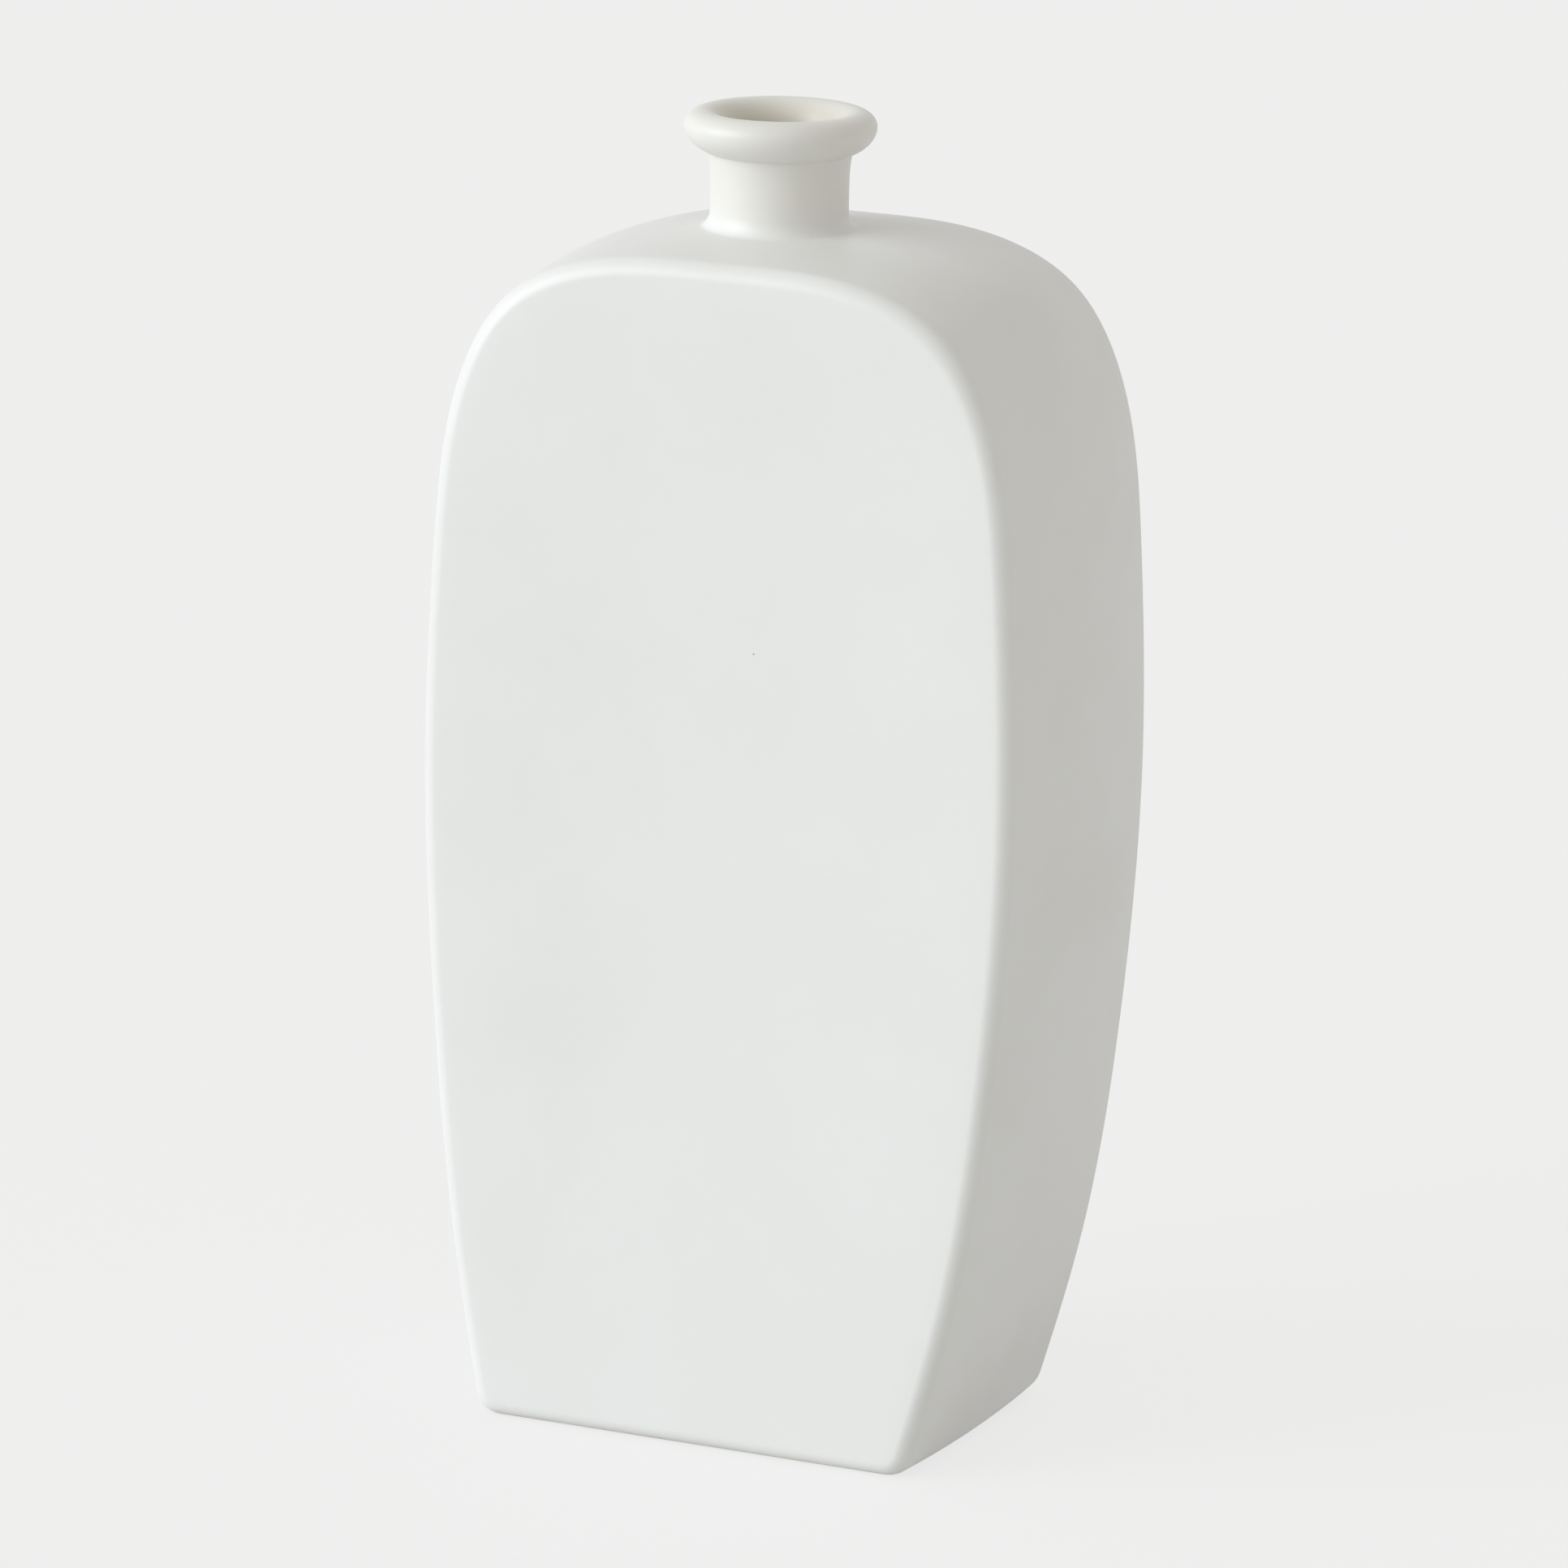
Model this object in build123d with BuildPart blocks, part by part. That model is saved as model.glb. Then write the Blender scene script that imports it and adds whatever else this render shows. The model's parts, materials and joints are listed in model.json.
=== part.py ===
"""Flask-shaped ceramic bud vase, built the way a slab potter builds it.

Two flat panels, front and back, stand apart on a pair of curved side strips and a base slab. A thrown
collar is let into the crown, a coil of clay closes the joint round its root, and a rolled rim is set on
top. The pieces are luted face to face and fired as one.

Frame, in millimetres: +Z up, +X to the right across the broad face, +Y to the back. The origin is on the
table, under the middle of the foot, and the neck's axis passes through it.
"""

import os

from build123d import *

# ---- body ---------------------------------------------------------------------------------------
body_height = 208.8  # table to the top of the crown
body_depth = 60.0  # front face to back face
belly_half_width = 57.0  # half the widest place of the body
foot_half_width = 41.9
belly_lean = 2.8  # the belly stands this far to the right of the neck and the foot
# The outline as (share of the height, share of the belly's half width, share of its lean).
outline_stations = (
    (0.150, 0.862, 0.55),
    (0.340, 0.954, 0.88),
    (0.560, 1.000, 1.00),
    (0.750, 0.975, 1.00),
    (0.880, 0.900, 1.00),
    (0.955, 0.737, 1.00),
    (0.991, 0.466, 1.00),
)
inner_steps = 24  # the inner curve is set out from this many equal steps along the outer one

# ---- clay thicknesses ---------------------------------------------------------------------------
panel_thickness = 5.0
strip_thickness = 4.5
base_thickness = 5.5

# ---- softened edges -----------------------------------------------------------------------------
panel_edge_radius = 2.8  # round the broad faces, inside the panel's thickness
foot_edge_radius = 2.4  # round the underside

# ---- neck and rim -------------------------------------------------------------------------------
throat_radius = 8.8
neck_wall = 3.0
neck_flare = 0.5  # the collar opens this much under the rim
neck_height = 12.5  # crown to the underside of the rim
waist_height = 4.5  # the collar is straight up to here above the crown
coil_radius = 2.2
coil_toe = 0.3  # thickness of the coil's edge on the crown
rim_overhang = 4.1  # how far the rim stands out from the collar
rim_height = 7.3
rim_belly_height = 4.6  # rim's underside to its widest place
rim_crest_inset = 3.6  # highest circle of the rim, in from its widest
mouth_roll_depth = 5.0  # how far the mouth rolls in from the crest

# ---- places worked out from the sizes -----------------------------------------------------------
half_depth = body_depth / 2
inner_half_depth = half_depth - panel_thickness
neck_radius = throat_radius + neck_wall
neck_top_radius = neck_radius + neck_flare
neck_top = body_height + neck_height
rim_belly = neck_top + rim_belly_height
overall_height = neck_top + rim_height
buried = 2 * (strip_thickness + base_thickness + panel_edge_radius)  # outline's run below the table


def outline_points(side):
    """Points of one flank from the foot up: side is 1 on the right and -1 on the left."""
    points = [(side * foot_half_width, 0)]
    for height, width, lean in outline_stations:
        points.append((side * width * belly_half_width + lean * belly_lean, height * body_height))
    return points


def close_below_table(flanks):
    """Carry a flank-to-flank curve straight on below the table and close it there."""
    right_run = Line(flanks @ 0, flanks @ 0 - (flanks % 0) * buried)
    left_run = Line(flanks @ 1, flanks @ 1 + (flanks % 1) * buried)
    Line(right_run @ 1, left_run @ 1)


# ---- outline of the broad face, and the same curve one strip's thickness further in -------------
with BuildSketch() as outline:
    with BuildLine():
        crown = (belly_lean, body_height)
        flanks = Spline(*outline_points(1), crown, *reversed(outline_points(-1)))
        close_below_table(flanks)
    make_face()

with BuildSketch() as inner_outline:
    with BuildLine():
        along = [step / inner_steps for step in range(inner_steps + 1)]
        inward = [(flanks % share).rotate(Axis.Z, 90) * strip_thickness for share in along]
        inner_flanks = Spline(*[flanks @ share + step for share, step in zip(along, inward)])
        close_below_table(inner_flanks)
    make_face()

# ---- the body's outside, which every slab is cut from, and the space within the strips ----------
with BuildPart() as envelope:
    with BuildSketch(Plane.XZ.offset(half_depth)):
        add(outline.sketch)
    extrude(amount=-body_depth)
    fillet(faces().filter_by(Axis.Y).edges(), panel_edge_radius)
    split(bisect_by=Plane.XY)
    fillet(faces().sort_by(Axis.Z)[0].edges(), foot_edge_radius)

with BuildPart() as hollow:
    with BuildSketch(Plane.XZ.offset(inner_half_depth)):
        add(inner_outline.sketch)
    extrude(amount=-2 * inner_half_depth)
    split(bisect_by=Plane.XY)

# ---- front and back panels ----------------------------------------------------------------------
with BuildPart() as front_panel:
    add(envelope.part)
    split(bisect_by=Plane.XZ.offset(inner_half_depth))

with BuildPart() as back_panel:
    add(envelope.part)
    split(bisect_by=Plane.XZ.offset(-inner_half_depth), keep=Keep.BOTTOM)

# ---- side strips, which meet on the crown under the collar --------------------------------------
with BuildPart() as side_band:
    add(envelope.part)
    split(bisect_by=Plane.XZ.offset(inner_half_depth), keep=Keep.BOTTOM)
    split(bisect_by=Plane.XZ.offset(-inner_half_depth))
    add(hollow.part, mode=Mode.SUBTRACT)
    with Locations((0, 0, body_height)):
        Cylinder(neck_radius, body_height / 2, mode=Mode.SUBTRACT)

with BuildPart() as right_side_strip:
    add(side_band.part)
    split(bisect_by=Plane.YZ)

with BuildPart() as left_side_strip:
    add(side_band.part)
    split(bisect_by=Plane.YZ, keep=Keep.BOTTOM)

# ---- base slab, let in between the panels and the strips ----------------------------------------
with BuildPart() as base_slab:
    add(hollow.part)
    split(bisect_by=Plane.XY.offset(base_thickness), keep=Keep.BOTTOM)

# ---- thrown collar, whose tenon ends flush with the inside of the crown -------------------------
with BuildPart() as neck_collar:
    with BuildSketch(Plane.XZ):
        with BuildLine():
            tenon_foot = body_height - 3 * strip_thickness
            waist = body_height + waist_height
            Line((neck_radius, tenon_foot), (neck_radius, waist))
            TangentArc((neck_radius, waist), (neck_top_radius, neck_top), tangent=(0, 1))
            Line((neck_top_radius, neck_top), (throat_radius, neck_top))
            Line((throat_radius, neck_top), (throat_radius, tenon_foot))
            Line((throat_radius, tenon_foot), (neck_radius, tenon_foot))
        make_face()
    revolve(axis=Axis.Z)
    add(hollow.part, mode=Mode.SUBTRACT)

# ---- clay coil round the collar's root ----------------------------------------------------------
with BuildPart() as neck_coil:
    with BuildSketch(Plane.XZ):
        with BuildLine():
            coil_out = neck_radius + coil_radius
            coil_low = body_height - strip_thickness
            coil_edge = body_height + coil_toe
            Line((neck_radius, coil_low), (coil_out, coil_low))
            Line((coil_out, coil_low), (coil_out, coil_edge))
            CenterArc((coil_out, coil_edge + coil_radius), coil_radius, start_angle=-90, arc_size=-90)
            Line((neck_radius, coil_edge + coil_radius), (neck_radius, coil_low))
        make_face()
    revolve(axis=Axis.Z)
    add(envelope.part, mode=Mode.SUBTRACT)

# ---- rolled rim ---------------------------------------------------------------------------------
with BuildPart() as rolled_rim:
    with BuildSketch(Plane.XZ):
        with BuildLine():
            crest_radius = neck_top_radius + rim_overhang - rim_crest_inset
            crest_rise = rim_height - rim_belly_height
            roll_width = crest_radius - throat_radius
            roll_foot = overall_height - mouth_roll_depth
            Line((throat_radius, neck_top), (neck_top_radius, neck_top))
            EllipticalCenterArc(
                (neck_top_radius, rim_belly), rim_overhang, rim_belly_height, -90, arc_size=90
            )
            EllipticalCenterArc(
                (crest_radius, rim_belly), rim_crest_inset, crest_rise, 0, arc_size=90
            )
            EllipticalCenterArc(
                (crest_radius, roll_foot), roll_width, mouth_roll_depth, 90, arc_size=90
            )
            Line((throat_radius, roll_foot), (throat_radius, neck_top))
        make_face()
    revolve(axis=Axis.Z)

# ---- labels and files ---------------------------------------------------------------------------
pieces = {
    "front_panel": front_panel,
    "back_panel": back_panel,
    "left_side_strip": left_side_strip,
    "right_side_strip": right_side_strip,
    "base_slab": base_slab,
    "neck_collar": neck_collar,
    "neck_coil": neck_coil,
    "rolled_rim": rolled_rim,
}
os.makedirs("parts", exist_ok=True)
for name, piece in pieces.items():
    piece.part.label = name
    export_step(piece.part, f"parts/{name}.step")
    print(name, "volume", round(piece.part.volume), "solids", len(piece.part.solids()))
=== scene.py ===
"""The looks of a flask-shaped bud vase in satin white glaze, around its packed clay pieces.

Every clay piece has a finished twin here: two broad panels with softened edges and a faint dish, two full
side strips that run from the foot over the shoulders, a base slab, a turned collar, the coil smoothed
round its root and a rolled rim. Panels and strips share their border points, so that the glaze runs
across the joints.

Metres. +Z is up, +X is to the right across the broad face and +Y is to the back.
"""

import json
import logging
import math
from collections.abc import Callable, Sequence
from dataclasses import dataclass
from enum import Enum
from functools import cached_property

import bmesh
import bpy
import numpy as np
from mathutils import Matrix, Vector


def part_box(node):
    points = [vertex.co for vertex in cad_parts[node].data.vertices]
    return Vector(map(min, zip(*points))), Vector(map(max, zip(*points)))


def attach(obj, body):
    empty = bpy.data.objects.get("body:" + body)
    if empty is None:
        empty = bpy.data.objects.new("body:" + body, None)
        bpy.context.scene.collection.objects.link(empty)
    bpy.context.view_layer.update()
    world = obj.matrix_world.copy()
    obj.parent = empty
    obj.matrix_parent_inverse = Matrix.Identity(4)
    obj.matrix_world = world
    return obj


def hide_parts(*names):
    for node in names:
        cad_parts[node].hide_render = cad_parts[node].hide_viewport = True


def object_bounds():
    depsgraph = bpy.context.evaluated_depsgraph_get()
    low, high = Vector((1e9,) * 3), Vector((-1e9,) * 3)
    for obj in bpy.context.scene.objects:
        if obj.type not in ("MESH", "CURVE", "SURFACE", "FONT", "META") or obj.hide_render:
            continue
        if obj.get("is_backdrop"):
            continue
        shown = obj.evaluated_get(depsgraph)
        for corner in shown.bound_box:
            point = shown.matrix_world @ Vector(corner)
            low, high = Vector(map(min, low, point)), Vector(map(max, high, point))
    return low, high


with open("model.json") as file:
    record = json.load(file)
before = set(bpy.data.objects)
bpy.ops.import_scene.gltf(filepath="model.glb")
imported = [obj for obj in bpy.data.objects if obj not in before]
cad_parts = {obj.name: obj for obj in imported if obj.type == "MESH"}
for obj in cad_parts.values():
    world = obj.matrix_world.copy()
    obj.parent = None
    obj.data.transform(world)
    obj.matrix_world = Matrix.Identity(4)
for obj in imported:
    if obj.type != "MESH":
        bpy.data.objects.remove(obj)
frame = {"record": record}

LOG = logging.getLogger("bud_vase")
BODY = "root"  # the vase has no moving part, so every piece rides on the one body
MM = 0.001
ON_PLANE = 0.01 * MM  # points this near to a plane lie on it
SAME_POINT = 0.002 * MM  # points nearer to each other than this are one
DOWNWARDS = -0.9  # a face whose normal's z is lower than this looks down
AIM_HEIGHT = 0.5104  # where the camera aims, as a share of the vase's height

Point = tuple[float, float]
Span = tuple[float, float]
Colour = tuple[float, float, float]


class Side(Enum):
    """The two flanks of the flask, by the sign of x."""

    LEFT = -1
    RIGHT = 1


class Face(Enum):
    """The two broad faces of the flask, by the sign of y."""

    FRONT = -1
    BACK = 1


# ---- modelling by hand --------------------------------------------------------------------------


def clear_selection() -> None:
    """Leave edit mode and deselect every object."""
    if bpy.context.object and bpy.context.object.mode != "OBJECT":
        bpy.ops.object.mode_set(mode="OBJECT")
    bpy.ops.object.select_all(action="DESELECT")


def begin_edit(piece: bpy.types.Object, mode: str = "VERT") -> None:
    """Open one piece alone in edit mode with nothing selected.

    Args:
        piece: The mesh object to edit.
        mode: What the operators select: VERT, EDGE or FACE.
    """
    clear_selection()
    bpy.context.view_layer.objects.active = piece
    piece.select_set(True)
    bpy.ops.object.mode_set(mode="EDIT")
    bpy.ops.mesh.select_mode(type=mode)
    bpy.ops.mesh.select_all(action="DESELECT")


def select_edges(piece: bpy.types.Object, wanted: Callable[[Vector, Vector], bool]) -> None:
    """Select the edges of the piece in edit mode that a test on their two ends picks.

    Args:
        piece: The mesh object, open in edit mode.
        wanted: Says for an edge's two end points whether it is wanted.
    """
    mesh = bmesh.from_edit_mesh(piece.data)
    for edge in mesh.edges:
        edge.select_set(wanted(edge.verts[0].co, edge.verts[1].co))
    mesh.select_flush_mode()
    bmesh.update_edit_mesh(piece.data)


def select_faces(piece: bpy.types.Object, wanted: Callable[[Vector, Vector], bool]) -> None:
    """Select the faces of the piece in edit mode that a test on their centre and normal picks.

    Args:
        piece: The mesh object, open in edit mode.
        wanted: Says for a face's centre and normal whether it is wanted.
    """
    mesh = bmesh.from_edit_mesh(piece.data)
    mesh.normal_update()
    for one in mesh.faces:
        one.select_set(wanted(one.calc_center_median(), one.normal))
    bmesh.update_edit_mesh(piece.data)


def end_edit(sharp_angle: float = 35.0) -> None:
    """Turn the normals outwards, leave edit mode and smooth the shading.

    Args:
        sharp_angle: Edges that turn by more degrees than this stay crisp.
    """
    bpy.ops.mesh.select_all(action="SELECT")
    bpy.ops.mesh.normals_make_consistent(inside=False)
    bpy.ops.object.mode_set(mode="OBJECT")
    bpy.ops.object.shade_smooth_by_angle(angle=math.radians(sharp_angle))


def settle(piece: bpy.types.Object) -> None:
    """Put the piece's object at the origin, unturned, with its place in its mesh.

    Args:
        piece: The mesh object.
    """
    clear_selection()
    bpy.context.view_layer.objects.active = piece
    piece.select_set(True)
    bpy.ops.object.transform_apply(location=True, rotation=True, scale=True)


def reshape(piece: bpy.types.Object, move: Callable[[np.ndarray], np.ndarray]) -> None:
    """Move all vertices of a piece in object mode by one rule.

    Args:
        piece: The mesh object.
        move: Gives new coordinates, as rows of x, y and z, for the old ones.
    """
    flat = np.empty(len(piece.data.vertices) * 3)
    piece.data.vertices.foreach_get("co", flat)
    piece.data.vertices.foreach_set("co", move(flat.reshape(-1, 3)).ravel())
    piece.data.update()


def turned(name: str, profile: Sequence[Point], segments: int) -> bpy.types.Object:
    """Turn a closed profile round the neck's axis: a circle is drawn up through it ring by ring.

    Args:
        name: The piece's name.
        profile: Points (radius, height) in order round the section, the first not repeated.
        segments: Steps round the axis.

    Returns:
        The closed ring-shaped piece, in object mode.
    """
    clear_selection()
    radius, height = profile[0]
    bpy.ops.mesh.primitive_circle_add(vertices=segments, radius=radius, location=(0, 0, height))
    piece = bpy.context.object
    piece.name = piece.data.name = name
    settle(piece)
    begin_edit(piece)
    bpy.ops.mesh.select_all(action="SELECT")
    for next_radius, next_height in [*profile[1:], profile[0]]:
        rise = (0, 0, next_height - height)
        bpy.ops.mesh.extrude_region_move(TRANSFORM_OT_translate={"value": rise})
        grow = next_radius / radius
        bpy.ops.transform.resize(value=(grow, grow, 1), center_override=(0, 0, next_height))
        radius, height = next_radius, next_height
    bpy.ops.mesh.select_all(action="SELECT")
    bpy.ops.mesh.remove_doubles(threshold=SAME_POINT)
    end_edit()
    return piece


def finish_piece(piece: bpy.types.Object, material: bpy.types.Material, node: str) -> None:
    """Dress a piece, let it ride on the vase and say which clay piece it stands for.

    Args:
        piece: The finished mesh object.
        material: Its finish.
        node: The clay piece that it replaces.
    """
    piece.data.materials.clear()
    piece.data.materials.append(material)
    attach(piece, BODY)
    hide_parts(node)
    LOG.info("%s: %d vertices, stands for %s", piece.name, len(piece.data.vertices), node)


# ---- the flask's outline ------------------------------------------------------------------------


def smooth_curve(points: Sequence[Point], steps: int) -> np.ndarray:
    """Run a natural cubic curve through points.

    Args:
        points: The points that the curve passes, in order.
        steps: How many points to return.

    Returns:
        Points along the curve, one row each, from the first point to the last.
    """
    knots = np.asarray(points, dtype=float)
    gaps = np.linalg.norm(np.diff(knots, axis=0), axis=1)
    run = np.concatenate([[0.0], np.cumsum(gaps)])
    system = np.eye(len(knots))
    pull = np.zeros_like(knots)
    for i in range(1, len(knots) - 1):
        system[i, i - 1 : i + 2] = gaps[i - 1], 2 * (gaps[i - 1] + gaps[i]), gaps[i]
        slopes = np.diff(knots[i - 1 : i + 2], axis=0) / gaps[i - 1 : i + 1, None]
        pull[i] = 6 * (slopes[1] - slopes[0])
    bend = np.linalg.solve(system, pull)
    at = np.linspace(0, run[-1], steps)
    span = np.clip(np.searchsorted(run, at, side="right") - 1, 0, len(gaps) - 1)
    gap = gaps[span, None]
    late = (at[:, None] - run[span, None]) / gap
    early = 1 - late
    bow = ((early**3 - early) * bend[span] + (late**3 - late) * bend[span + 1]) * gap**2 / 6
    return early * knots[span] + late * knots[span + 1] + bow


def even_steps(path: np.ndarray, count: int) -> np.ndarray:
    """Set out equal steps along a path of many points.

    Args:
        path: Points, one row each.
        count: How many points to return, both ends included.

    Returns:
        The evenly spaced points.
    """
    run = np.concatenate([[0.0], np.cumsum(np.linalg.norm(np.diff(path, axis=0), axis=1))])
    at = np.linspace(0, run[-1], count)
    return np.column_stack([np.interp(at, run, path[:, axis]) for axis in (0, 1)])


@dataclass(frozen=True)
class FlaskOutline:
    """The outline of the broad face, as x and z: narrow foot, full belly, rounded shoulders."""

    low: Vector
    high: Vector
    strip: float = 4.5 * MM  # clay thickness of the side strips
    foot_share: float = 0.7351  # foot's half width, as a share of the belly's
    foot_round: float = 4.2 * MM  # how far the foot's corner is rounded off
    skin: float = 0.06 * MM  # the glaze's face lies this little inside the clay's own outline
    # (share of the height, share of the belly's half width, share of the belly's lean)
    stations: tuple[tuple[float, float, float], ...] = (
        (0.150, 0.862, 0.55),
        (0.340, 0.954, 0.88),
        (0.560, 1.000, 1.00),
        (0.750, 0.975, 1.00),
        (0.880, 0.900, 1.00),
        (0.955, 0.737, 1.00),
        (0.991, 0.466, 1.00),
    )
    flank_steps: int = 170
    foot_steps: int = 60
    corner_steps: int = 10
    fine_steps: int = 6000
    crown_zone: float = 0.9  # the crown is the outline above this share of the height

    @property
    def belly(self) -> float:
        """Half the widest place of the body."""
        return (self.high.x - self.low.x) / 2 - self.skin

    @property
    def crown(self) -> float:
        """Height of the body's top."""
        return self.high.z - self.skin

    @property
    def lean(self) -> float:
        """How far the belly's middle stands to the right of the neck."""
        return (self.high.x + self.low.x) / 2

    @property
    def foot(self) -> float:
        """Half the width that the foot would have with sharp corners."""
        return self.foot_share * self.belly

    @cached_property
    def flanks(self) -> np.ndarray:
        """The curve from the right foot over the crown to the left foot.

        Returns:
            Points of x and z in many fine steps.
        """
        sides = {}
        for side in Side:
            sides[side] = [(side.value * self.foot, 0.0)]
            for height, width, lean in self.stations:
                x = side.value * width * self.belly + lean * self.lean
                sides[side].append((x, height * self.crown))
        crown = (self.lean, self.crown)
        points = [*sides[Side.RIGHT], crown, *reversed(sides[Side.LEFT])]
        return smooth_curve(points, self.fine_steps)

    def half(self, side: Side) -> np.ndarray:
        """The outline of one side, from the underside round the foot's corner to the neck's axis.

        Args:
            side: The flank that is wanted.

        Returns:
            Points of x and z. The first lies on the table, one strip's thickness in from the corner.
        """
        curve = self.flanks if side is Side.RIGHT else self.flanks[::-1]
        reach = np.linalg.norm(curve - curve[0], axis=1)
        start = int(np.argmax(reach > self.foot_round))
        stop = int(np.argmax(curve[:, 0] * side.value < 0) or len(curve))
        middle = curve[start:stop]
        crossing = np.interp(0.0, sorted(curve[stop - 1 : stop + 1, 0]), [0.0, 1.0])
        top = curve[stop - 1] + (curve[stop] - curve[stop - 1]) * crossing
        top[0] = 0.0
        flank = even_steps(np.vstack([middle, top]), self.flank_steps)
        toe, knee = curve[0], flank[0]
        inward = np.array([-side.value, 0.0])
        table = toe + inward * self.foot_round
        share = np.linspace(0, 1, self.corner_steps + 1)[:-1, None]
        corner = (1 - share) ** 2 * table + 2 * share * (1 - share) * toe + share**2 * knee
        return np.vstack([toe + inward * self.strip, corner, flank])

    def loop(self) -> np.ndarray:
        """The whole outline, anticlockwise seen from the front.

        Returns:
            Points of x and z round the outline, the first not repeated.
        """
        right = self.half(Side.RIGHT)
        left = self.half(Side.LEFT)[::-1]
        underside = np.linspace(left[-1], right[0], self.foot_steps + 1)[1:-1]
        return np.vstack([right, left[1:], underside])

    def crown_height(self, x: np.ndarray) -> np.ndarray:
        """Height of the crown over places across the neck.

        Args:
            x: Places along X, near the neck.

        Returns:
            The outline's height at each.
        """
        top = self.flanks[self.flanks[:, 1] > self.crown_zone * self.crown][::-1]
        return np.interp(x, top[:, 0], top[:, 1])


@dataclass(frozen=True)
class Fullness:
    """The side walls stand full along their middle and fall back a little towards both broad faces."""

    outline: FlaskOutline
    half_width: float  # half a side strip's width, where the fall is measured
    fall: float = 1.5 * MM

    def apply(self, points: np.ndarray) -> np.ndarray:
        """Draw points in towards the body's middle by their distance from the middle plane.

        Args:
            points: Rows of x, y and z of a body with straight walls.

        Returns:
            The same points on the full body. The foot stays flat on the table.
        """
        fall = self.fall * (points[:, 1] / self.half_width) ** 2
        middle = self.outline.lean
        x = middle + (points[:, 0] - middle) * (1 - fall / self.outline.belly)
        z = points[:, 2] * (1 - fall / self.outline.crown)
        return np.column_stack([x, points[:, 1], z])


# ---- finishes -----------------------------------------------------------------------------------


class Nodes:
    """A short way to write a node material."""

    def __init__(self, name: str) -> None:
        """Start a material with only its output node.

        Args:
            name: The material's name.
        """
        self.material = bpy.data.materials.new(name)
        self.material.use_nodes = True
        self.tree = self.material.node_tree
        self.tree.nodes.clear()
        self.output = self.tree.nodes.new("ShaderNodeOutputMaterial")
        self.place = self.tree.nodes.new("ShaderNodeTexCoord").outputs["Object"]

    def add(self, kind: str, **inputs: object) -> bpy.types.Node:
        """Add a node and fill its inputs, each by a value or by another node's output.

        Args:
            kind: The node's type, without its ShaderNode prefix.
            **inputs: Values or outputs by socket name, with spaces written as underscores.

        Returns:
            The new node.
        """
        node = self.tree.nodes.new(f"ShaderNode{kind}")
        for name, value in inputs.items():
            socket = node.inputs[name.replace("_", " ")]
            if isinstance(value, bpy.types.NodeSocket):
                self.tree.links.new(value, socket)
            else:
                socket.default_value = value
        return node

    def maths(self, operation: str, *values: object) -> bpy.types.NodeSocket:
        """Add a Math node.

        Args:
            operation: The node's operation.
            *values: One to three numbers or outputs.

        Returns:
            The node's result.
        """
        node = self.tree.nodes.new("ShaderNodeMath")
        node.operation = operation
        for socket, value in zip(node.inputs, values):
            if isinstance(value, bpy.types.NodeSocket):
                self.tree.links.new(value, socket)
            else:
                socket.default_value = value
        return node.outputs[0]

    def rest(self, share: bpy.types.NodeSocket) -> bpy.types.NodeSocket:
        """What a share leaves of the whole."""
        return self.maths("SUBTRACT", 1.0, share)

    def ramp(self, value: object, low: float, high: float) -> bpy.types.NodeSocket:
        """Turn a value into a smooth share: 0 at low and below, 1 at high and above.

        Args:
            value: The output to read.
            low: Where the share starts.
            high: Where the share is whole.

        Returns:
            The share.
        """
        node = self.tree.nodes.new("ShaderNodeMapRange")
        node.interpolation_type = "SMOOTHSTEP"
        self.tree.links.new(value, node.inputs["Value"])
        node.inputs["From Min"].default_value = low
        node.inputs["From Max"].default_value = high
        return node.outputs["Result"]

    def noise(self, size: float, detail: float = 3.0, roughness: float = 0.5) -> bpy.types.NodeSocket:
        """Soft noise whose blotches are about so large.

        Args:
            size: Size of a blotch in metres.
            detail: Finer layers.
            roughness: Strength of the finer layers.

        Returns:
            Values round 0.5.
        """
        node = self.add("TexNoise", Vector=self.place, Scale=1 / size, Detail=detail, Roughness=roughness)
        return node.outputs["Fac"]

    def tint(self, share: object, plain: object, other: object) -> bpy.types.NodeSocket:
        """Mix two colours.

        Args:
            share: How much of the other colour shows.
            plain: The first colour, as red, green and blue or as an output.
            other: The second colour.

        Returns:
            The mixed colour.
        """
        node = self.tree.nodes.new("ShaderNodeMix")
        node.data_type = "RGBA"
        for name, value in (("Factor_Float", share), ("A_Color", plain), ("B_Color", other)):
            socket = next(one for one in node.inputs if one.identifier == name)
            if isinstance(value, bpy.types.NodeSocket):
                self.tree.links.new(value, socket)
            elif name == "Factor_Float":
                socket.default_value = value
            else:
                socket.default_value = (*value, 1.0)
        return next(one for one in node.outputs if one.identifier == "Result_Color")

    def relief(self, height: object, depth: float, under: object = None) -> bpy.types.NodeSocket:
        """Turn a height pattern into surface relief.

        Args:
            height: The pattern, from 0 to 1.
            depth: What a height of 1 stands for, in metres.
            under: The relief that this one lies on.

        Returns:
            The bent normal.
        """
        node = self.add("Bump", Height=height, Strength=1.0, Distance=depth)
        if under is not None:
            self.tree.links.new(under, node.inputs["Normal"])
        return node.outputs["Normal"]

    def finish(self, shader: bpy.types.Node) -> bpy.types.Material:
        """Join the last shader to the output and give back the material."""
        self.tree.links.new(shader.outputs[0], self.output.inputs["Surface"])
        return self.material


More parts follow.
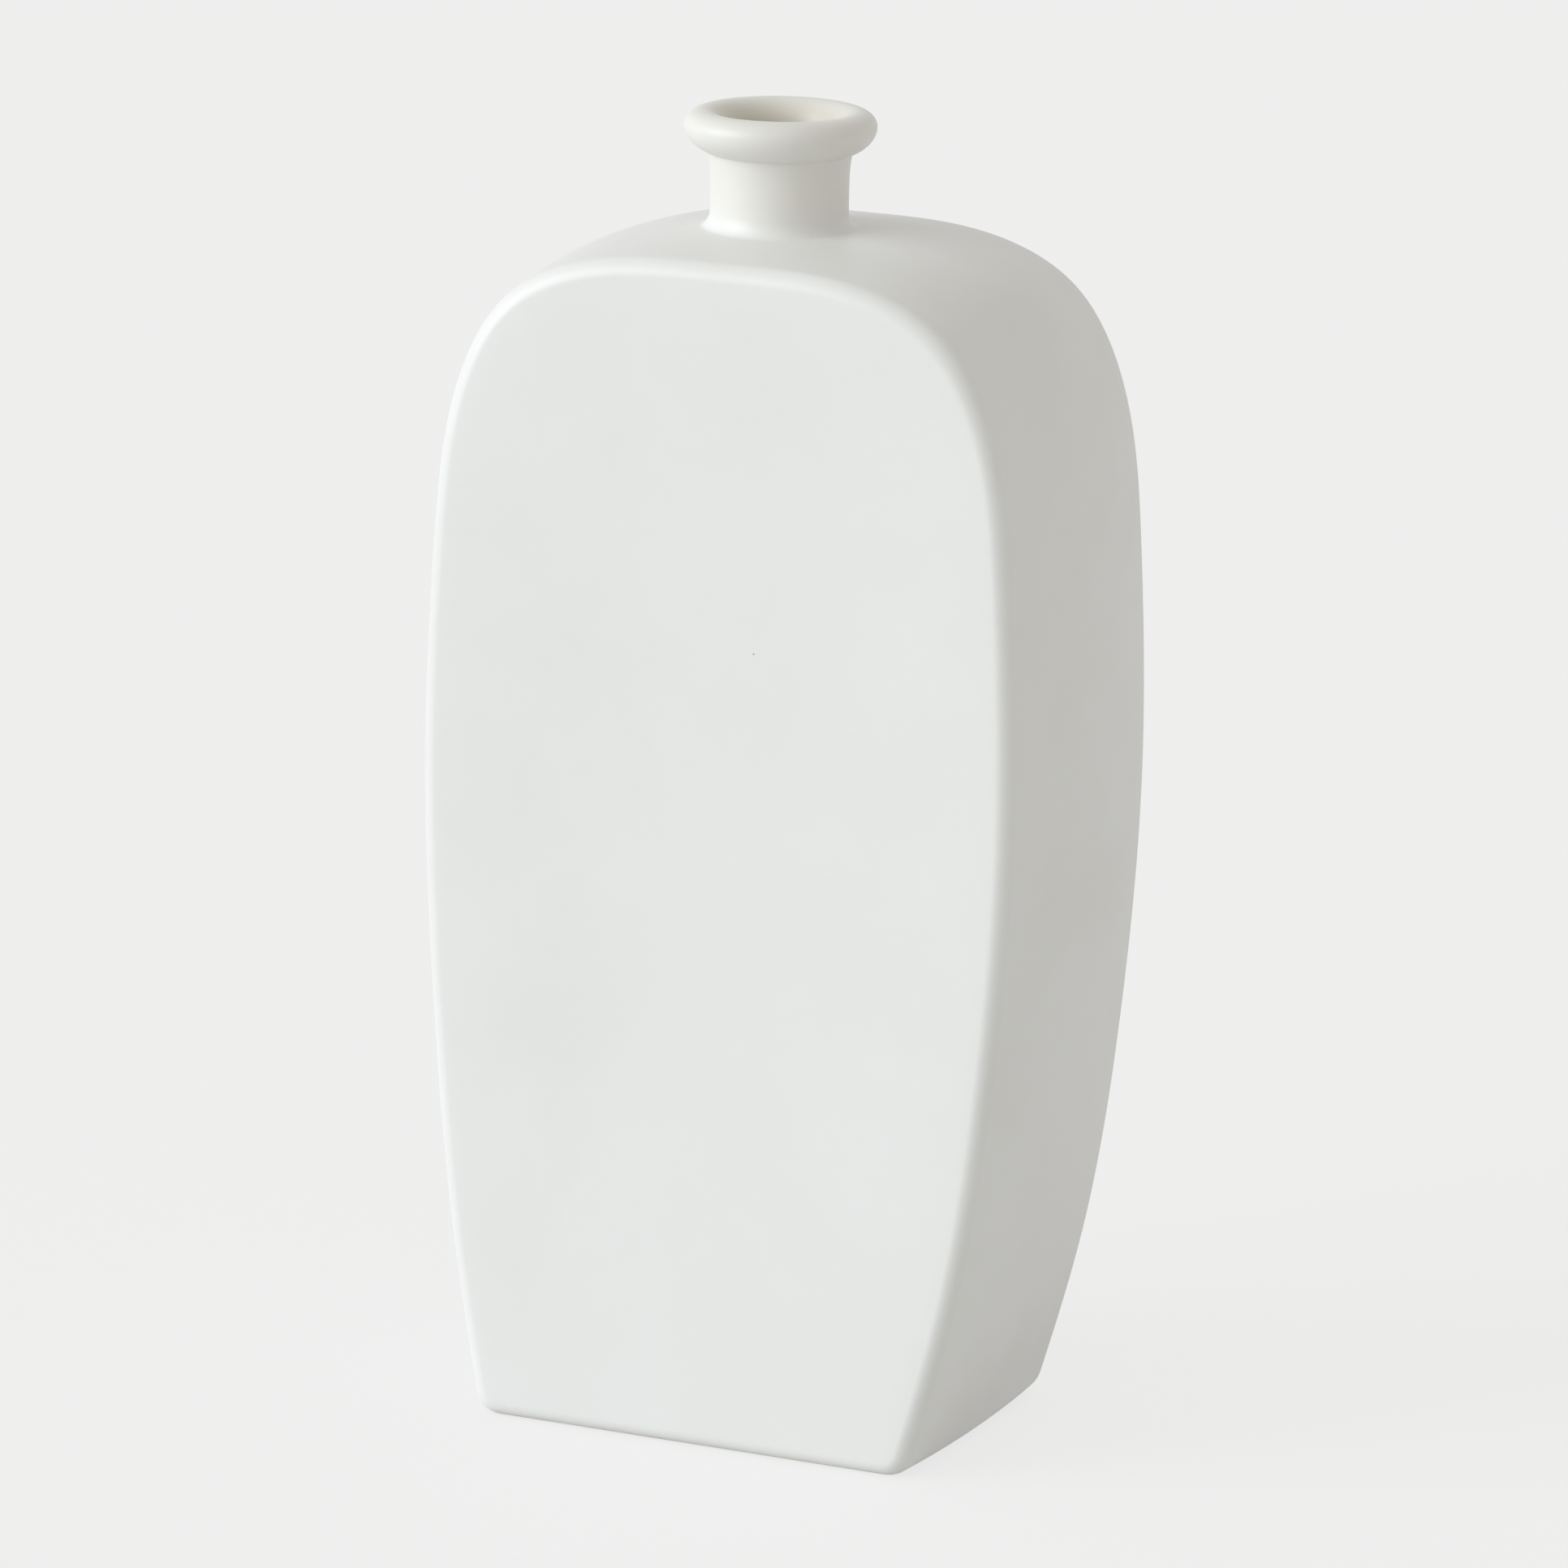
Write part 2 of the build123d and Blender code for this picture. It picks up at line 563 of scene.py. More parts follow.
@dataclass(frozen=True)
class SatinGlaze:
    """Opaque satin white glaze: smooth and a little uneven, warmer where it thins at the foot, with
    darker, warmer shade painted on the neck, the rim and in the bore.
    """

    crest: float  # top of the rim
    throat: float  # radius of the bore
    name: str = "satin_white_glaze"
    white: Colour = (0.838, 0.843, 0.838)
    cloud: Colour = (0.818, 0.822, 0.812)
    neck_shade_tone: Colour = (0.79, 0.762, 0.69)  # painted shade: the neck and rim tinted darker and warmer, for the shade that falls on them
    thin_coat_and_bore_shade: Colour = (0.72, 0.68, 0.60)  # the clay's colour through a thinned coat near the foot, and the painted shade in the bore
    clay: Colour = (0.60, 0.54, 0.45)
    fleck: Colour = (0.42, 0.36, 0.29)
    neck_shade_share: float = 0.4  # this much of the painted shade shows on the neck and rim
    bore_shade_share: float = 0.75  # the next three: how much shows of the painted bore shade, of the thinned coat at the foot and of the fleck
    foot_warmth: float = 0.3
    pit_stain: float = 0.6
    neck_zone: Span = (0.905, 0.94)  # the painted neck shade comes in here, as shares of the height
    mouth_zone: Span = (0.70, 0.72)  # the bore's painted shade comes in here, as shares of the height
    mouth_roll: float = 12.6 * MM  # radius where the bore's painted shade ends
    wall_room: float = 1.02  # that shade is full up to this many times the throat's radius
    cloud_size: float = 38 * MM
    cloud_zone: Span = (0.35, 0.68)  # the clouds come in between these values of their noise
    ripple_size: float = 16 * MM
    ripple_depth: float = 0.08 * MM
    peel_size: float = 1.6 * MM
    peel_depth: float = 0.009 * MM
    pit_cell: float = 17 * MM  # at most one pinhole in a cell of this size
    pit_radius: float = 0.23 * MM
    pit_floor: float = 0.4  # flat bottom of a pinhole, as a share of its radius
    pit_rarity: float = 0.45  # share of the cells that have none
    pit_depth: float = 0.10 * MM
    foot_line: float = 0.5 * MM  # the glaze thins towards the table from about this height
    foot_fade: float = 3.2  # the thin band ends at this many foot lines
    foot_wander: float = 1.2 * MM  # how far that line rises and falls round the foot
    bare_zone: Span = (0.6, 0.8)  # the clay is bare below these shares of the foot line
    smooth: float = 0.37  # roughness where the glaze is clear
    cloud_haze: float = 0.1  # roughness that the clouds add
    bare_haze: float = 0.4  # roughness that bare clay adds
    gloss: float = 1.5  # index of refraction

    def material(self) -> bpy.types.Material:
        """Write the finish as nodes.

        Returns:
            The material.
        """
        nodes = Nodes(self.name)
        x, y, z = nodes.add("SeparateXYZ", Vector=nodes.place).outputs
        clouds = nodes.noise(self.cloud_size, detail=4.0, roughness=0.55)
        ripple = nodes.noise(self.ripple_size, detail=1.0)
        peel = nodes.noise(self.peel_size, detail=2.0)
        squares = [nodes.maths("MULTIPLY", along, along) for along in (x, y)]
        radius = nodes.maths("SQRT", nodes.maths("ADD", *squares))
        wander = nodes.maths("MULTIPLY", nodes.maths("SUBTRACT", clouds, 0.5), self.foot_wander)
        level = nodes.maths("ADD", z, wander)
        bare_low, bare_high = (share * self.foot_line for share in self.bare_zone)
        bare = nodes.rest(nodes.ramp(level, bare_low, bare_high))
        pits = self._pits(nodes)

        colour = nodes.tint(nodes.ramp(clouds, *self.cloud_zone), self.white, self.cloud)
        # painted shade: the neck and rim turn darker and warmer upwards from the crown
        neck_shade = nodes.ramp(z, *(share * self.crest for share in self.neck_zone))
        colour = nodes.tint(nodes.maths("MULTIPLY", neck_shade, self.neck_shade_share), colour, self.neck_shade_tone)
        # painted shade: the bore turns darker and warmer inside the throat, fading out over the rim's
        # roll
        bore_shade = self._bore_shade_mask(nodes, radius, z)
        colour = nodes.tint(nodes.maths("MULTIPLY", bore_shade, self.bore_shade_share), colour, self.thin_coat_and_bore_shade)
        near_foot = nodes.rest(nodes.ramp(level, self.foot_line, self.foot_line * self.foot_fade))
        colour = nodes.tint(nodes.maths("MULTIPLY", near_foot, self.foot_warmth), colour, self.thin_coat_and_bore_shade)
        colour = nodes.tint(bare, colour, self.clay)
        colour = nodes.tint(nodes.maths("MULTIPLY", pits, self.pit_stain), colour, self.fleck)

        rough = nodes.maths("ADD", self.smooth, nodes.maths("MULTIPLY", clouds, self.cloud_haze))
        rough = nodes.maths("ADD", rough, nodes.maths("MULTIPLY", bare, self.bare_haze))
        normal = nodes.relief(ripple, self.ripple_depth)
        normal = nodes.relief(peel, self.peel_depth, normal)
        normal = nodes.relief(nodes.rest(pits), self.pit_depth, normal)
        coat = nodes.add(
            "BsdfPrincipled", Base_Color=colour, Roughness=rough, Normal=normal, IOR=self.gloss
        )
        return nodes.finish(coat)

    def _bore_shade_mask(
        self, nodes: Nodes, radius: bpy.types.NodeSocket, height: bpy.types.NodeSocket
    ) -> bpy.types.NodeSocket:
        """Share of the painted shade in the bore, which fades out over the rim's roll.

        Args:
            nodes: The material's node tree.
            radius: Distance from the neck's axis.
            height: Height above the table.

        Returns:
            The share.
        """
        inside = nodes.rest(nodes.ramp(radius, self.throat * self.wall_room, self.mouth_roll))
        high = nodes.ramp(height, *(share * self.crest for share in self.mouth_zone))
        return nodes.maths("MULTIPLY", inside, high)

    def _pits(self, nodes: Nodes) -> bpy.types.NodeSocket:
        """A few pinholes, at most one in each cell of the pattern.

        Args:
            nodes: The material's node tree.

        Returns:
            1 in the middle of a pinhole and 0 outside.
        """
        cells = nodes.add("TexVoronoi", Vector=nodes.place, Scale=1 / self.pit_cell)
        edge = self.pit_radius / self.pit_cell
        pit = nodes.rest(nodes.ramp(cells.outputs["Distance"], self.pit_floor * edge, edge))
        draw = nodes.add("SeparateColor", Color=cells.outputs["Color"]).outputs[0]
        return nodes.maths("MULTIPLY", pit, nodes.maths("GREATER_THAN", draw, self.pit_rarity))


@dataclass(frozen=True)
class BareClay:
    """Fired stoneware with no glaze: matt, pale and slightly sandy."""

    name: str = "bare_fired_clay"
    pale: Colour = (0.66, 0.60, 0.51)
    dark: Colour = (0.55, 0.48, 0.39)
    sand: Colour = (0.33, 0.27, 0.21)
    roughness: float = 0.88
    blotch_size: float = 14 * MM
    grain_size: float = 0.7 * MM
    grain_depth: float = 0.08 * MM
    blotch_zone: Span = (0.35, 0.7)  # the dark comes in between these values of the noise
    sand_zone: Span = (0.66, 0.74)

    def material(self) -> bpy.types.Material:
        """Write the finish as nodes.

        Returns:
            The material.
        """
        nodes = Nodes(self.name)
        blotches = nodes.noise(self.blotch_size, detail=5.0, roughness=0.6)
        grain = nodes.noise(self.grain_size, detail=3.0, roughness=0.7)
        colour = nodes.tint(nodes.ramp(blotches, *self.blotch_zone), self.pale, self.dark)
        colour = nodes.tint(nodes.ramp(grain, *self.sand_zone), colour, self.sand)
        normal = nodes.relief(grain, self.grain_depth)
        body = nodes.add("BsdfPrincipled", Base_Color=colour, Roughness=self.roughness, Normal=normal)
        return nodes.finish(body)


# ---- the clay pieces ----------------------------------------------------------------------------


@dataclass
class BroadPanel:
    """A broad face: a slab with a rounded edge and a faint dish, like the clay's own shrinkage."""

    outline: FlaskOutline
    face: Face
    inner: float  # distance of its inner face from the middle plane
    outer: float
    fullness: Fullness
    edge_radius: float = 2.8 * MM
    edge_steps: int = 12
    dish_depth: float = 1.0 * MM
    dish_rings: int = 18
    heart: float = 0.04  # the last ring, as a share of the outline
    heart_height: float = 0.52  # height of the dish's middle, as a share of the body's

    def build(self) -> bpy.types.Object:
        """Draw the outline, pull it out to a slab, round its edge and dish its face.

        Returns:
            The panel, in object mode.
        """
        loop = self.outline.loop()
        clear_selection()
        turn = (math.pi / 2, 0, 0)
        bpy.ops.mesh.primitive_circle_add(vertices=len(loop), fill_type="NGON", rotation=turn)
        panel = bpy.context.object
        panel.name = panel.data.name = f"{self.face.name.lower()}_panel_glazed"
        settle(panel)
        sign = self.face.value
        level = np.full(len(loop), sign * self.inner)
        reshape(panel, lambda _: np.column_stack([loop[:, 0], level, loop[:, 1]]))
        begin_edit(panel, "FACE")
        bpy.ops.mesh.select_all(action="SELECT")
        thickness = sign * (self.outer - self.inner)
        bpy.ops.mesh.extrude_region_move(TRANSFORM_OT_translate={"value": (0, thickness, 0)})
        bpy.ops.mesh.select_all(action="SELECT")
        bpy.ops.mesh.normals_make_consistent(inside=False)
        self._round_edge(panel)
        self._dish_face(panel)
        end_edit()
        reshape(panel, self.fullness.apply)
        return panel

    def _round_edge(self, panel: bpy.types.Object) -> None:
        """Bevel the edge of the broad face to a quarter circle.

        Args:
            panel: The panel, open in edit mode.
        """
        bpy.ops.mesh.select_mode(type="EDGE")
        out = self.face.value * self.outer
        select_edges(panel, lambda a, b: max(abs(a.y - out), abs(b.y - out)) < ON_PLANE)
        bpy.ops.mesh.bevel(
            offset=self.edge_radius,
            segments=self.edge_steps,
            profile=0.5,
            affect="EDGES",
            clamp_overlap=False,
        )

    def _dish_face(self, panel: bpy.types.Object) -> None:
        """Draw the broad face in ring by ring, each a little deeper, and close it at its heart.

        Args:
            panel: The panel, open in edit mode.
        """
        bpy.ops.mesh.select_mode(type="FACE")
        out = self.face.value * self.outer
        select_faces(panel, lambda place, normal: abs(place.y - out) < ON_PLANE)
        centre = (self.outline.lean, out, self.outline.high.z * self.heart_height)
        share, depth = 1.0, 0.0
        for ring in range(1, self.dish_rings + 1):
            next_share = 1 - (1 - self.heart) * ring / self.dish_rings
            bowl = (1 - next_share**2) ** 2
            next_depth = self.dish_depth * bowl
            step = (0, -self.face.value * (next_depth - depth), 0)
            shrink = next_share / share
            bpy.ops.mesh.extrude_region_move(TRANSFORM_OT_translate={"value": step})
            bpy.ops.transform.resize(value=(shrink, 1, shrink), center_override=centre)
            share, depth = next_share, next_depth
        bpy.ops.mesh.merge(type="CENTER")


@dataclass
class SideStrip:
    """A strip of clay bent along one flank, from under the foot to the neck's axis on the crown."""

    outline: FlaskOutline
    side: Side
    half_width: float  # half its width from front to back
    neck_radius: float
    fullness: Fullness
    rows: int = 26
    cutter_steps: int = 128
    cutter_share: float = 0.25  # length of the hole's cutter, as a share of the body's height

    def build(self) -> bpy.types.Object:
        """Bend a grid along the flank, thicken it and cut the collar's hole.

        Returns:
            The strip, in object mode.
        """
        path = self.outline.half(self.side)
        clear_selection()
        bpy.ops.mesh.primitive_grid_add(x_subdivisions=len(path) - 1, y_subdivisions=self.rows, size=2)
        strip = bpy.context.object
        strip.name = strip.data.name = f"{self.side.name.lower()}_side_strip_glazed"
        settle(strip)
        reshape(strip, lambda flat: self._bend(flat, path))
        begin_edit(strip)
        bpy.ops.mesh.select_all(action="SELECT")
        bpy.ops.mesh.normals_make_consistent(inside=False)
        if self._faces_inwards(strip):
            bpy.ops.mesh.flip_normals()
        bpy.ops.object.mode_set(mode="OBJECT")
        thick = strip.modifiers.new("wall", "SOLIDIFY")
        thick.thickness = self.outline.strip
        thick.offset = -1
        thick.use_even_offset = True
        bpy.ops.object.modifier_apply(modifier=thick.name)
        reshape(strip, self.fullness.apply)
        self._cut_neck_hole(strip)
        begin_edit(strip)
        end_edit()
        return strip

    def _bend(self, flat: np.ndarray, path: np.ndarray) -> np.ndarray:
        """Lay the flat grid along the flank: its X runs along the path and its Y from front to back."""
        along = np.rint((flat[:, 0] + 1) / 2 * (len(path) - 1)).astype(int)
        return np.column_stack([path[along, 0], flat[:, 1] * self.half_width, path[along, 1]])

    def _faces_inwards(self, strip: bpy.types.Object) -> bool:
        """Whether the strip's faces point to the middle of the body.

        Args:
            strip: The bent sheet, open in edit mode.

        Returns:
            True where they have to be flipped.
        """
        mesh = bmesh.from_edit_mesh(strip.data)
        mesh.normal_update()
        mesh.faces.ensure_lookup_table()
        middle = max(mesh.faces, key=lambda one: one.calc_center_median().x * self.side.value)
        return middle.normal.x * self.side.value < 0

    def _cut_neck_hole(self, strip: bpy.types.Object) -> None:
        """Cut the half hole that the collar stands in.

        Args:
            strip: The strip, in object mode.
        """
        clear_selection()
        top = self.outline.high.z
        bpy.ops.mesh.primitive_cylinder_add(
            vertices=self.cutter_steps,
            radius=self.neck_radius,
            depth=top * self.cutter_share,
            location=(0, 0, top),
        )
        cutter = bpy.context.object
        clear_selection()
        bpy.context.view_layer.objects.active = strip
        strip.select_set(True)
        hole = strip.modifiers.new("neck_hole", "BOOLEAN")
        hole.operation = "DIFFERENCE"
        hole.solver = "EXACT"
        hole.object = cutter
        bpy.ops.object.modifier_apply(modifier=hole.name)
        bpy.data.objects.remove(cutter, do_unlink=True)


@dataclass
class BaseSlab:
    """The slab let in between the panels and the strips, with its underside left bare."""

    outline: FlaskOutline
    half_depth: float
    thickness: float
    fullness: Fullness
    recess_inset: float = 7 * MM
    recess_depth: float = 0.5 * MM
    recess_slope: float = 1.2 * MM  # width of the slope that runs down into the field
    cuts: int = 7  # so that the slab can follow the full side walls
    crisp_angle: float = 50.0

    def build(self) -> bpy.types.Object:
        """Size a block to the foot and press a shallow field into its underside.

        Returns:
            The slab, in object mode.
        """
        right = self.outline.half(Side.RIGHT)[0][0]
        left = self.outline.half(Side.LEFT)[0][0]
        clear_selection()
        bpy.ops.mesh.primitive_cube_add(
            size=1,
            location=((left + right) / 2, 0, self.thickness / 2),
            scale=(right - left, 2 * self.half_depth, self.thickness),
        )
        slab = bpy.context.object
        slab.name = slab.data.name = "base_slab_bare"
        settle(slab)
        begin_edit(slab, "FACE")
        select_faces(slab, lambda place, normal: normal.z < DOWNWARDS)
        bpy.ops.mesh.inset(thickness=self.recess_inset)
        bpy.ops.mesh.inset(thickness=self.recess_slope, depth=-self.recess_depth)
        bpy.ops.mesh.select_all(action="SELECT")
        bpy.ops.mesh.subdivide(number_cuts=self.cuts)
        end_edit(sharp_angle=self.crisp_angle)
        reshape(slab, self.fullness.apply)
        return slab


@dataclass
class NeckCollar:
    """The short thrown tube, straight at the waist and opening a little under the rim."""

    outline: FlaskOutline
    throat: float
    radius: float
    top_radius: float
    low: float
    top: float
    waist: float = 4.5 * MM  # the collar starts to open this far above the crown
    straight: float = 3 * MM  # a plain ring stands this far below that place
    flare_power: int = 4  # the higher, the nearer to the rim the collar opens
    segments: int = 144
    rings: int = 14

    def build(self) -> bpy.types.Object:
        """Turn the tube's section round the axis.

        Returns:
            The collar, in object mode.
        """
        waist = self.outline.high.z + self.waist
        profile = [(self.throat, self.low)]
        profile += [(self.radius, height) for height in (self.low, waist - self.straight, waist)]
        for ring in range(1, self.rings + 1):
            share = ring / self.rings
            flare = (self.top_radius - self.radius) * share**self.flare_power
            profile.append((self.radius + flare, waist + (self.top - waist) * share))
        profile.append((self.throat, self.top))
        return turned("neck_collar_glazed", profile, self.segments)


@dataclass
class NeckCoil:
    """The coil of clay smoothed into the corner between the crown and the collar."""

    outline: FlaskOutline
    radius: float  # of the collar
    fullness: Fullness
    reach: float = 1.7 * MM  # how far the fillet runs out over the crown
    rise: float = 2.6 * MM  # how far it runs up the collar
    bury: float = 1.2 * MM  # how deep its underside lies in the strips
    segments: int = 144
    rings: int = 14

    def build(self) -> bpy.types.Object:
        """Turn the hollow fillet round the axis and lay its toe on the curved crown.

        Returns:
            The coil, in object mode.
        """
        top = self.outline.crown
        profile = [(self.radius, top - self.bury)]
        profile.append((self.radius + self.reach, top - self.bury))
        for ring in range(self.rings + 1):
            turn = math.pi / 2 * ring / self.rings
            out = self.radius + self.reach * (1 - math.sin(turn))
            profile.append((out, top + self.rise * (1 - math.cos(turn))))
        coil = turned("neck_coil_glazed", profile, self.segments)
        reshape(coil, self._follow_crown)
        return coil

    def _follow_crown(self, points: np.ndarray) -> np.ndarray:
        """Lower the coil's toe onto the crown, and leave its top where it meets the collar.

        Args:
            points: Rows of x, y and z of the coil on a level crown.

        Returns:
            The same points on the real one.
        """
        top = self.outline.crown
        wall = np.column_stack([points[:, :2], self.outline.crown_height(points[:, 0])])
        drop = top - self.fullness.apply(wall)[:, 2]
        height = np.clip((points[:, 2] - top) / self.rise, 0, 1)
        points[:, 2] -= drop * (1 - height)
        return points


@dataclass
class RolledRim:
    """The thick rolled lip: full outside, rounded over the crest and rolled into the throat."""

    throat: float
    neck: float  # the collar's radius under it
    radius: float
    low: float
    top: float
    belly_height: float = 4.6 * MM
    crest_radius: float = 13.0 * MM
    tuck: float = 60.0  # degrees of the lower curve, so that it meets the collar in a soft crease
    roll_depth: float = 5.0 * MM
    segments: int = 160
    arc_steps: int = 14
    unevenness: float = 0.12 * MM
    # (how many waves round the rim, share of the unevenness, turn in radians)
    waves: tuple[tuple[int, float, float], ...] = ((2, 0.3, 0.6), (3, 0.2, 2.1))

    def build(self) -> bpy.types.Object:
        """Turn the lip's section round the axis and let its crest wander as a hand leaves it.

        Returns:
            The rim, in object mode.
        """
        belly = self.low + self.belly_height
        profile = [(self.throat, self.low)]
        wide = (self.radius - self.neck) / (1 - math.cos(math.radians(self.tuck)))
        deep = self.belly_height / math.sin(math.radians(self.tuck))
        profile += self._arc(self.radius - wide, belly, wide, deep, -self.tuck, 0)
        crest = self.radius - self.crest_radius
        profile += self._arc(self.crest_radius, belly, crest, self.top - belly, 0, 90)[1:]
        roll = self.crest_radius - self.throat
        foot = self.top - self.roll_depth
        profile += self._arc(self.crest_radius, foot, roll, self.roll_depth, 90, 180)[1:]
        rim = turned("rolled_rim_glazed", profile, self.segments)
        reshape(rim, self._wander)
        return rim

    def _arc(self, r: float, z: float, wide: float, tall: float, start: float, end: float) -> list[Point]:
        """Points of an elliptical arc about (r, z), between two angles in degrees."""
        turns = np.radians(np.linspace(start, end, self.arc_steps + 1))
        return [(r + wide * math.cos(turn), z + tall * math.sin(turn)) for turn in turns]

    def _wander(self, points: np.ndarray) -> np.ndarray:
        """Lower the crest by a slow wave round the rim, more the higher the point.

        Args:
            points: Rows of x, y and z of the even rim.

        Returns:
            The same points on the uneven one, none higher than before.
        """
        around = np.arctan2(points[:, 1], points[:, 0])
        share = np.clip((points[:, 2] - self.low) / (self.top - self.low), 0, 1) ** 2
        wave = sum(size for _, size, _ in self.waves)
        for count, size, turn in self.waves:
            wave = wave + size * np.sin(count * around + turn)
        points[:, 2] -= self.unevenness * wave * share
        return points


# ---- the studio ---------------------------------------------------------------------------------


@dataclass
class Studio:
    """A pale floor, soft light all round, a key light, a white card low on the right, and the camera."""

    aim: Vector
    backdrop: float = 0.863  # how bright the plain paper behind and under the vase is seen
    lit_floor: float = 0.58  # how bright the floor stands in this light
    floor_colour: Colour = (0.74, 0.74, 0.735)
    floor_size: float = 12.0
    floor_gap: float = 0.05 * MM  # keeps the floor clear of the foot's underside
    painted: float = 0.8  # how much of the floor the camera sees as plain backdrop
    ambient: Colour = (1.0, 0.968, 0.905)
    ambient_strength: float = 0.56
    key_colour: Colour = (0.90, 0.96, 1.0)
    key_strength: float = 2.1
    key_from: tuple[float, float, float] = (-0.72, -0.62, 0.32)
    key_softness: float = 45.0  # how wide the key light looks from the vase, in degrees
    card_colour: Colour = (0.93, 0.98, 1.0)
    card_power: float = 0.045
    card_size: float = 0.2
    card_place: tuple[float, float, float] = (0.36, -0.04, 0.07)
    card_back: tuple[float, float, float] = (1.0, -0.1, -0.05)  # its light goes the other way
    camera_distance: float = 1.6234
    camera_azimuth: float = 24.41
    camera_elevation: float = 13.69
    camera_roll: float = 1.03
    camera_drop: float = 5.3 * MM  # the camera looks this much lower than the aim
    lens: float = 217.0

    def build(self) -> None:
        """Set up the floor, the light and the camera."""
        self._floor()
        self._light()
        self._camera()

    def _floor(self) -> None:
        """Lay a wide floor that the camera sees as a plain pale backdrop with the vase's shadow."""
        clear_selection()
        bpy.ops.mesh.primitive_plane_add(size=self.floor_size, location=(0, 0, -self.floor_gap))
        floor = bpy.context.object
        floor.name = "studio_floor"
        nodes = Nodes("studio_floor")
        lit = nodes.add("BsdfDiffuse", Color=(*self.floor_colour, 1.0))
        paper_tone = (self.backdrop - (1 - self.painted) * self.lit_floor) / self.painted
        paper = nodes.add("Emission", Color=(paper_tone, paper_tone, paper_tone, 1.0), Strength=1.0)
        ray = nodes.add("LightPath")
        seen = nodes.maths("MAXIMUM", ray.outputs["Is Camera Ray"], ray.outputs["Is Glossy Ray"])
        seen = nodes.maths("MAXIMUM", seen, ray.outputs["Is Transmission Ray"])
        share = nodes.maths("MULTIPLY", seen, self.painted)
        both = nodes.add("MixShader", Fac=share)
        nodes.tree.links.new(lit.outputs[0], both.inputs[1])
        nodes.tree.links.new(paper.outputs[0], both.inputs[2])
        nodes.tree.links.new(both.outputs[0], nodes.output.inputs["Surface"])
        floor.data.materials.append(nodes.material)
        floor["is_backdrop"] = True

    def _light(self) -> None:
        """Light the room evenly, with one broad key light from the left and a white card on the right."""
        world = bpy.data.worlds.new("studio")
        bpy.context.scene.world = world
        world.use_nodes = True
        tree = world.node_tree
        tree.nodes.clear()
        room = tree.nodes.new("ShaderNodeBackground")
        room.inputs["Color"].default_value = (*self.ambient, 1.0)
        room.inputs["Strength"].default_value = self.ambient_strength
        paper = tree.nodes.new("ShaderNodeBackground")
        paper.inputs["Color"].default_value = (self.backdrop, self.backdrop, self.backdrop, 1.0)
        ray = tree.nodes.new("ShaderNodeLightPath")
        both = tree.nodes.new("ShaderNodeMixShader")
        output = tree.nodes.new("ShaderNodeOutputWorld")
        seen = ray.outputs["Is Camera Ray"]
        for kind in ("Is Glossy Ray", "Is Transmission Ray"):
            either = tree.nodes.new("ShaderNodeMath")
            either.operation = "MAXIMUM"
            tree.links.new(seen, either.inputs[0])
            tree.links.new(ray.outputs[kind], either.inputs[1])
            seen = either.outputs[0]
        tree.links.new(seen, both.inputs["Fac"])
        tree.links.new(room.outputs[0], both.inputs[1])
        tree.links.new(paper.outputs[0], both.inputs[2])
        tree.links.new(both.outputs[0], output.inputs["Surface"])

        lamp = bpy.data.lights.new("key", "SUN")
        lamp.energy = self.key_strength
        lamp.color = self.key_colour
        lamp.angle = math.radians(self.key_softness)
        key = bpy.data.objects.new("key", lamp)
        bpy.context.collection.objects.link(key)
        key.rotation_euler = Vector(self.key_from).to_track_quat("Z", "Y").to_euler()

        glow = bpy.data.lights.new("white_card", "AREA")
        glow.energy = self.card_power
        glow.color = self.card_colour
        glow.size = self.card_size
        card = bpy.data.objects.new("white_card", glow)
        bpy.context.collection.objects.link(card)
        card.location = self.card_place
        card.rotation_euler = Vector(self.card_back).to_track_quat("Z", "Y").to_euler()
        card.visible_camera = False

    def _camera(self) -> None:
        """Stand the camera to the right of the front face, a little above the vase."""
        azimuth = math.radians(self.camera_azimuth)
        elevation = math.radians(self.camera_elevation)
        back = Vector(
            (
                math.sin(azimuth) * math.cos(elevation),
                -math.cos(azimuth) * math.cos(elevation),
                math.sin(elevation),
            )
        )
        place = self.aim + back * self.camera_distance
        look = place - (self.aim - Vector((0, 0, self.camera_drop)))
        data = bpy.data.cameras.new("camera")
        data.lens = self.lens
        camera = bpy.data.objects.new("camera", data)
        bpy.context.collection.objects.link(camera)
        camera.location = place
        turn = look.to_track_quat("Z", "Y").to_matrix()
        roll = math.radians(self.camera_roll)
        right = turn.col[0] * math.cos(roll) + turn.col[1] * math.sin(roll)
        up = turn.col[1] * math.cos(roll) - turn.col[0] * math.sin(roll)
        turn.col[0], turn.col[1] = right, up
        camera.rotation_euler = turn.to_euler()
        bpy.context.scene.camera = camera
        bpy.context.scene.view_settings.view_transform = "Standard"


# ---- putting the vase together ------------------------------------------------------------------


